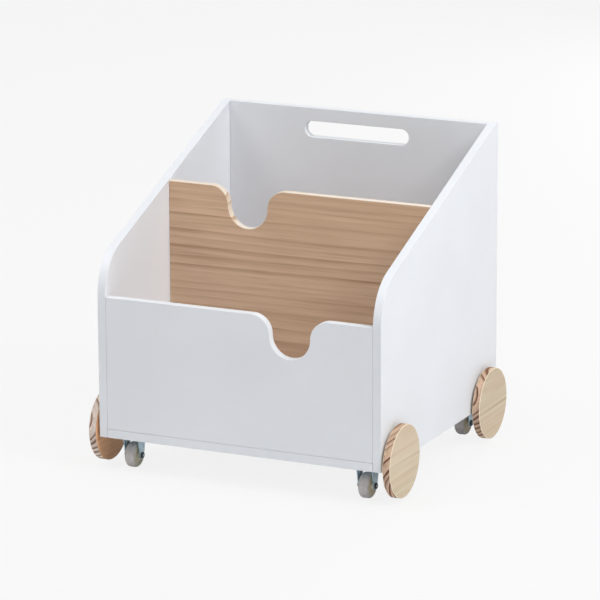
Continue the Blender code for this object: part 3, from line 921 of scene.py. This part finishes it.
def pine_disc():
    """A disc on the right, half way back, with a bore in its inner face."""
    middle = DISC_FACE + DISC_THICKNESS / 2
    bpy.ops.mesh.primitive_cylinder_add(
        vertices=DISC_SIDES,
        radius=DISC_RADIUS,
        depth=DISC_THICKNESS,
        location=(middle, 0, FLOOR_BOARD_MIDDLE),
        rotation=(0, math.pi / 2, 0),
    )
    disc = bpy.context.object
    settle(disc)
    ease(disc, DISC_EASE)
    mouth = (DISC_FACE - SEAT_GAP, 0, FLOOR_BOARD_MIDDLE)
    drill(disc, [(mouth, (DISC_BORE_END, 0, FLOOR_BOARD_MIDDLE), BOLT_BORE)])
    shade(disc)
    return disc


def disc_spacer():
    """A plain ring that holds a disc off its side."""
    z = FLOOR_BOARD_MIDDLE
    low, high = HALF_WIDTH + SEAT_GAP, DISC_FACE - SEAT_GAP
    inner, outer = z + BOLT_BORE, z + SPACER_RADIUS
    moves = [(high, 0, inner), (high, 0, outer), (low, 0, outer), (low, 0, inner)]
    profile = trace("disc_spacer", (low, 0, inner), moves, X_TO_Z)
    spacer = lathe(profile, (0, 0, z), Y_TO_Z, SPACER_SIDES)
    ease(spacer, FITTING_EASE, steps=2)
    shade(spacer)
    return spacer


def castor_bracket():
    """One half is drawn as a leg, bent over into half of the plate, and mirrored."""
    half_leg = LEG_TOP_WIDTH / 2
    bend_z = PLATE_FOOT - BEND_RADIUS
    drop = bend_z - AXLE_Z
    spread = math.atan2(half_leg, -drop) - math.acos(LEG_END_RADIUS / math.hypot(drop, half_leg))
    touch_y = LEG_END_RADIUS * math.sin(spread)
    touch_z = AXLE_Z - LEG_END_RADIUS * math.cos(spread)
    moves = [
        (LEG_OUTSIDE, -touch_y, touch_z),
        ((LEG_OUTSIDE, 0, AXLE_Z), 2 * math.degrees(spread), LEG_END_STEPS),
        (LEG_OUTSIDE, half_leg, bend_z),
        (LEG_OUTSIDE, -half_leg, bend_z),
    ]
    bracket = trace("castor_bracket", (LEG_OUTSIDE, -half_leg, bend_z), moves, Y_TO_Z)
    take(bracket)
    bpy.ops.object.mode_set(mode="EDIT")
    bpy.ops.mesh.select_all(action="SELECT")
    bpy.ops.mesh.edge_face_add()
    bpy.ops.object.mode_set(mode="OBJECT")
    pick(bracket, "edges", lambda edge: all(vert.co.z > bend_z - NEAR for vert in edge.verts))
    bend_middle = (PLATE_HALF_WIDTH, 0, bend_z)
    bpy.ops.mesh.spin(steps=BEND_STEPS, angle=turned_back(90), center=bend_middle, axis=X_TO_Z)
    bpy.ops.mesh.extrude_region_move(TRANSFORM_OT_translate={"value": (-PLATE_HALF_WIDTH, 0, 0)})
    leave()

    def on_plate_end(vert, way):
        on_plate = vert.co.x < PLATE_HALF_WIDTH + NEAR and vert.co.z > PLATE_FOOT
        return on_plate and way * vert.co.y > half_leg - NEAR

    for way in (-1, 1):
        pick(bracket, "edges", lambda edge: all(on_plate_end(vert, way) for vert in edge.verts))
        beyond = way * (PLATE_LENGTH / 2 - half_leg)
        bpy.ops.mesh.extrude_region_move(TRANSFORM_OT_translate={"value": (0, beyond, 0)})
        leave()
    reach = PLATE_LENGTH / 2 - NEAR
    pick(bracket, "verts", lambda vert: vert.co.x > PLATE_HALF_WIDTH - NEAR and abs(vert.co.y) > reach)
    bpy.ops.mesh.bevel(offset=PLATE_CORNER, segments=6, affect="VERTICES")
    leave()
    tidy_shell(bracket)
    modify(bracket, "MIRROR", use_axis=(True, False, False), use_mirror_merge=True, merge_threshold=NEAR)
    tidy_shell(bracket)
    modify(bracket, "SOLIDIFY", thickness=SHEET, offset=-1, use_even_offset=True)
    tidy_shell(bracket)
    press_gussets(bracket)
    holes = [((-LEG_OUTSIDE - SHEET, 0, AXLE_Z), (LEG_OUTSIDE + SHEET, 0, AXLE_Z), AXLE_RADIUS + SEAT_GAP)]
    for way in (-1, 1):
        y = way * SCREW_SPACING / 2
        holes.append(((0, y, PLATE_FOOT - SHEET), (0, y, PLATE_TOP + SHEET), SCREW_RADIUS + SEAT_GAP))
    drill(bracket, holes, BRACKET_BORE_SIDES)
    ease(bracket, METAL_EASE, steps=2, angle=50)
    shade(bracket, angle=40)
    return bracket


def press_gussets(bracket):
    """Two stiffening beads pressed into the top of each leg: a rib inside, a dent outside."""
    ribs = []
    dents = []
    for side in (-1, 1):
        for y in (-BEAD_OFFSET, BEAD_OFFSET):
            for kind, x, size in ((ribs, LEG_FACE, BEAD_RIB), (dents, LEG_OUTSIDE, BEAD_DENT)):
                bpy.ops.mesh.primitive_uv_sphere_add(
                    segments=20,
                    ring_count=16,
                    radius=1,
                    location=(side * x, y, BEAD_MIDDLE),
                    scale=(BEAD_DEPTH, *size),
                )
                kind.append(bpy.context.object)
                settle(kind[-1])
    dent = joined(dents)
    cut(bracket, joined(ribs), "UNION")
    cut(bracket, dent)


def castor_axle():
    """A riveted axle with domed, hollow heads."""
    seat = LEG_OUTSIDE + SEAT_GAP
    tip = seat + AXLE_HEAD
    z = AXLE_Z
    dome_z = z + AXLE_HEAD_RADIUS - DOME_DROP
    moves = [
        (-tip + HOLLOW_DEPTH, 0, z + HOLLOW_RADIUS - HOLLOW_TAPER),
        (-tip + HOLLOW_LIP, 0, z + HOLLOW_RADIUS),
        (-tip, 0, z + HOLLOW_RADIUS + HOLLOW_TAPER),
        (-tip, 0, dome_z),
        ((-tip + DOME_RADIUS, 0, dome_z), -DOME_TURN, DOME_STEPS),
        (-seat - HEAD_CHAMFER, 0, z + AXLE_HEAD_RADIUS),
        (-seat, 0, z + AXLE_HEAD_RADIUS - HEAD_CHAMFER),
        (-seat, 0, z + AXLE_RADIUS),
        (0, 0, z + AXLE_RADIUS),
    ]
    profile = trace("castor_axle", (-tip + HOLLOW_DEPTH, 0, z), moves, X_TO_Z)
    axle = lathe(profile, (0, 0, z), Y_TO_Z, AXLE_SIDES)
    modify(axle, "MIRROR", use_axis=(True, False, False), use_mirror_merge=True, merge_threshold=WELD)
    tidy_shell(axle)
    shade(axle, angle=40)
    return axle


def castor_wheel():
    """A wheel moulded in two greys: tread with round shoulders, core with a recessed web and a hub."""
    z = AXLE_Z
    rim = WHEEL_HALF_WIDTH
    web = rim - WEB_RECESS
    bore = AXLE_RADIUS + SEAT_GAP
    shoulder = Vector((rim - WHEEL_SHOULDER, 0, z + WHEEL_RADIUS - WHEEL_SHOULDER))

    def on_shoulder(angle, depth=0.0):
        reach = WHEEL_SHOULDER - depth
        return shoulder + reach * Vector((math.cos(math.radians(angle)), 0, math.sin(math.radians(angle))))

    past_joint = TREAD_JOINT + TREAD_JOINT_WIDTH
    moves = [
        (HUB_HALF_WIDTH - HUB_CHAMFER, 0, z + bore),
        (HUB_HALF_WIDTH, 0, z + bore + HUB_CHAMFER),
        (HUB_HALF_WIDTH, 0, z + HUB_RADIUS - HUB_CHAMFER - HUB_CROWN),
        (HUB_HALF_WIDTH - HUB_CROWN, 0, z + HUB_RADIUS - HUB_CHAMFER),
        (web + WEB_FILLET, 0, z + HUB_RADIUS),
        (web, 0, z + HUB_RADIUS + WEB_FILLET),
        (web, 0, z + WEB_RADIUS - WEB_LIP[0]),
        (rim, 0, z + WEB_RADIUS + WEB_LIP[1]),
        on_shoulder(0),
        (shoulder, TREAD_JOINT, 3),
        on_shoulder(TREAD_JOINT, TREAD_JOINT_DEPTH),
        (shoulder, TREAD_JOINT_WIDTH, 1),
        on_shoulder(past_joint),
        (shoulder, 90 - past_joint, 9),
        (0, 0, z + WHEEL_RADIUS),
    ]
    profile = trace("castor_wheel", (0, 0, z + bore), moves, X_TO_Z)
    wheel = lathe(profile, (0, 0, z), Y_TO_Z, WHEEL_SIDES)
    modify(wheel, "MIRROR", use_axis=(True, False, False), use_mirror_merge=True, merge_threshold=WELD)
    tidy_shell(wheel)
    shade(wheel, angle=40)
    return wheel


def castor_screw():
    """A pan head screw with a cross recess."""
    seat = PLATE_FOOT - SEAT_GAP
    foot = seat - SCREW_HEAD
    tip = CASE_BOTTOM + BLIND_DEPTH
    moves = [(radius, 0, foot + height) for radius, height in PAN_HEAD]
    moves += [
        (SCREW_SEAT_RADIUS, 0, seat),
        (SCREW_RADIUS, 0, seat),
        (SCREW_RADIUS, 0, tip - SCREW_POINT),
        (0, 0, tip),
    ]
    profile = trace("castor_screw", (0, 0, foot), moves, X_TO_Z)
    screw = lathe(profile, (0, 0, 0), X_TO_Y, SCREW_SIDES)
    recess(screw, (0, 0, foot), (0, 0, 1), *SCREW_CROSS)
    shade(screw, angle=40)
    return screw


def cam():
    """A cam about its own middle, with a cross recess and a channel for the bolt on its right."""
    bpy.ops.mesh.primitive_cylinder_add(
        vertices=CAM_SIDES,
        radius=CAM_RADIUS,
        depth=CAM_TOP - CAM_FOOT,
        location=(0, (CAM_TOP + CAM_FOOT) / 2, 0),
        rotation=(math.pi / 2, 0, 0),
    )
    body = bpy.context.object
    settle(body)
    ease(body, FITTING_EASE, steps=2)
    bpy.ops.mesh.primitive_cube_add(
        size=1,
        location=(CAM_RADIUS - CHANNEL_INSET, CAM_FOOT + CHANNEL_RISE, 0),
        scale=(2 * CAM_RADIUS, CHANNEL_HEIGHT, CHANNEL_WIDTH),
    )
    channel = bpy.context.object
    settle(channel)
    cut(body, channel)
    bpy.ops.mesh.primitive_cone_add(
        vertices=3,
        radius1=ARROW_RADIUS,
        radius2=ARROW_TAPERED_RADIUS,
        depth=ARROW_DEPTH,
        location=(CAM_RADIUS - ARROW_INSET, CAM_TOP, 0),
        rotation=(-math.pi / 2, math.radians(30), 0),
    )
    arrow = bpy.context.object
    settle(arrow)
    cut(body, arrow)
    recess(body, (0, CAM_TOP, 0), (0, -1, 0), *CAM_CROSS)
    shade(body, angle=30)
    return body


def make_case(finishes):
    lacquer = finishes["lacquer"]
    for side_name, side in SIDES.items():
        board = side_board(side_name, side)
        hand_over(board, lacquer, "white_lacquer", "case", f"{side_name}_side_panel")
    hand_over(front_board(), lacquer, "white_lacquer", "case", "front_panel")
    hand_over(back_board(), lacquer, "white_lacquer", "case", "back_panel")
    hand_over(bottom_board(), lacquer, "white_lacquer", "case", "bottom_panel")
    hand_over(divider_board(), finishes["divider"], "pine_board", "case", "divider_panel")


def make_cams(finishes):
    """Copies of one cam, turned over on the left, so that their channels face their ends."""
    pattern = cam()
    for board, middle_y, top in (
        ("front", BOARD / 2 - HALF_DEPTH, FRONT_TOP),
        ("back", HALF_DEPTH - BOARD / 2, CASE_TOP),
    ):
        for side_name, side in SIDES.items():
            for level, z in zip(("lower", "upper"), cam_heights(top)):
                where = f"{board}_{side_name}_{level}"
                twin = copied(pattern, f"cam_disc_{where}")
                if side < 0:
                    take(twin)
                    twin.rotation_euler.y = math.pi
                twin.location = (side * (INNER_END - CAM_REACH), middle_y, z)
                settle(twin)
                hand_over(twin, finishes["die_cast"], "die_cast_zinc", "case", f"cam_{where}")
    bpy.data.objects.remove(pattern)


def make_discs(finishes):
    disc, spacer = pine_disc(), disc_spacer()
    for end_name, end in ENDS.items():
        for side_name, side in SIDES.items():
            where = f"{end_name}_{side_name}"
            y = end * (HALF_DEPTH - DISC_INSET)
            turn = 0 if side > 0 else 180
            twin = copied(disc, f"pine_disc_{where}", (0, y, 0), turn)
            hand_over(twin, finishes[f"disc_{where}"], "pine_disc", "case", f"disc_{where}")
            ring = copied(spacer, f"spacer_ring_{where}", (0, y, 0), turn)
            hand_over(ring, finishes["plastic"], "white_plastic", "case", f"disc_spacer_{where}")
    bpy.data.objects.remove(disc)
    bpy.data.objects.remove(spacer)


def make_castors(finishes):
    bracket, axle, wheel, screw = castor_bracket(), castor_axle(), castor_wheel(), castor_screw()
    head = LEG_OUTSIDE + SEAT_GAP / 2
    axis = Vector((0, 0, AXLE_Z))
    # The heads of the axle, outside the hollow, take the near black second finish
    paint_faces(axle, 1, lambda spot: abs(spot.x) > head and (spot - axis).yz.length > HOLLOW_RADIUS)
    joint_angle = math.radians(TREAD_JOINT + TREAD_JOINT_WIDTH / 2)
    joint = WHEEL_RADIUS - WHEEL_SHOULDER * (1 - math.sin(joint_angle))
    paint_faces(wheel, 1, lambda spot: (spot - axis).yz.length < joint)
    for end_name, end in ENDS.items():
        for side_name, side in SIDES.items():
            where = f"{end_name}_{side_name}"
            offset = (side * (HALF_WIDTH - CASTOR_INSET), end * (HALF_DEPTH - CASTOR_INSET), 0)
            twin = copied(bracket, f"bent_bracket_{where}", offset)
            hand_over(twin, finishes["zinc"], "zinc_steel", "case", f"castor_bracket_{where}")
            twin = copied(axle, f"rivet_axle_{where}", offset)
            layers = [finishes["zinc"], finishes["dark"]]
            hand_over(twin, layers, "zinc_steel", "case", f"castor_axle_{where}")
            twin = copied(wheel, f"moulded_wheel_{where}", offset)
            layers = [finishes["tread"], finishes["core"]]
            hand_over(twin, layers, "grey_rubber", f"{where}_wheel", f"castor_wheel_{where}")
            for name, way in (("outer", end), ("inner", -end)):
                shift = Vector((0, way * SCREW_SPACING / 2, 0))
                twin = copied(screw, f"plate_screw_{where}_{name}", Vector(offset) + shift)
                hand_over(twin, finishes["zinc"], "zinc_steel", "case", f"castor_screw_{where}_{name}")
    for pattern in (bracket, axle, wheel, screw):
        bpy.data.objects.remove(pattern)


def dress_hidden_fittings(finishes):
    """The dowels and the bolts stay as packed and get their finish."""
    for name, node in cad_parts.items():
        if name.startswith("divider_dowel"):
            finish = finishes["beech"]
        elif name.startswith(("cam_bolt", "disc_bolt")):
            finish = finishes["zinc"]
        else:
            continue
        for slot in node.material_slots:
            slot.material = finish


def make_floor():
    bpy.ops.mesh.primitive_plane_add(size=FLOOR_SIZE)
    floor = bpy.context.object
    floor.name = "studio_floor"
    finish = new_finish("pale studio floor")
    seen = finish.seen_as_background()
    patch = finish.noise(finish.place(), scale=0.6, detail=1)
    grey = finish.mix(paint(236, 236, 236), paint(234, 234, 234), patch)
    finish.surface(
        base_color=finish.mix(grey, SHADOW_SHARE, seen),
        roughness=0.9,
        emission_color=finish.mix((0, 0, 0), FLOOR_GLOW, seen),
        emission_strength=1.0,
    )
    floor.data.materials.append(finish.owner)


def softbox(name, place, size, power):
    turn = (Vector(LAMP_AIM) - Vector(place)).to_track_quat("-Z", "Y").to_euler()
    bpy.ops.object.light_add(type="AREA", location=place, rotation=turn)
    lamp = bpy.context.object
    lamp.name = name
    lamp.data.size = size
    lamp.data.energy = power


def light_the_room():
    for lamp in LAMPS:
        softbox(*lamp)
    world = bpy.context.scene.world or bpy.data.worlds.new("studio")
    bpy.context.scene.world = world
    air = Finish(world)
    seen = air.seen_as_background()
    backdrop = world.node_tree.nodes["Background"]
    air.feed(backdrop.inputs["Color"], air.mix((1, 1, 1), paint(244, 244, 244), seen))
    air.feed(backdrop.inputs["Strength"], AMBIENT + (1 - AMBIENT) * seen)


def place_camera():
    turn = Matrix.Rotation(math.radians(CAMERA_AZIMUTH), 3, "Z")
    turn = turn @ Matrix.Rotation(math.radians(90 - CAMERA_ELEVATION), 3, "X")
    turn = turn @ Matrix.Rotation(math.radians(CAMERA_ROLL), 3, "Z")
    place = CAMERA_TARGET + turn @ Vector((0, 0, CAMERA_DISTANCE))
    bpy.ops.object.camera_add(location=place, rotation=turn.to_euler())
    camera = bpy.context.object
    camera.data.lens = CAMERA_LENS
    camera.data.sensor_width = CAMERA_SENSOR
    camera.data.clip_end = CAMERA_SIGHT
    bpy.context.scene.camera = camera


def main():
    deselect()
    finishes = make_finishes()
    make_case(finishes)
    make_cams(finishes)
    make_discs(finishes)
    make_castors(finishes)
    dress_hidden_fittings(finishes)
    make_floor()
    light_the_room()
    place_camera()
    bpy.context.scene.view_settings.view_transform = "Standard"


main()
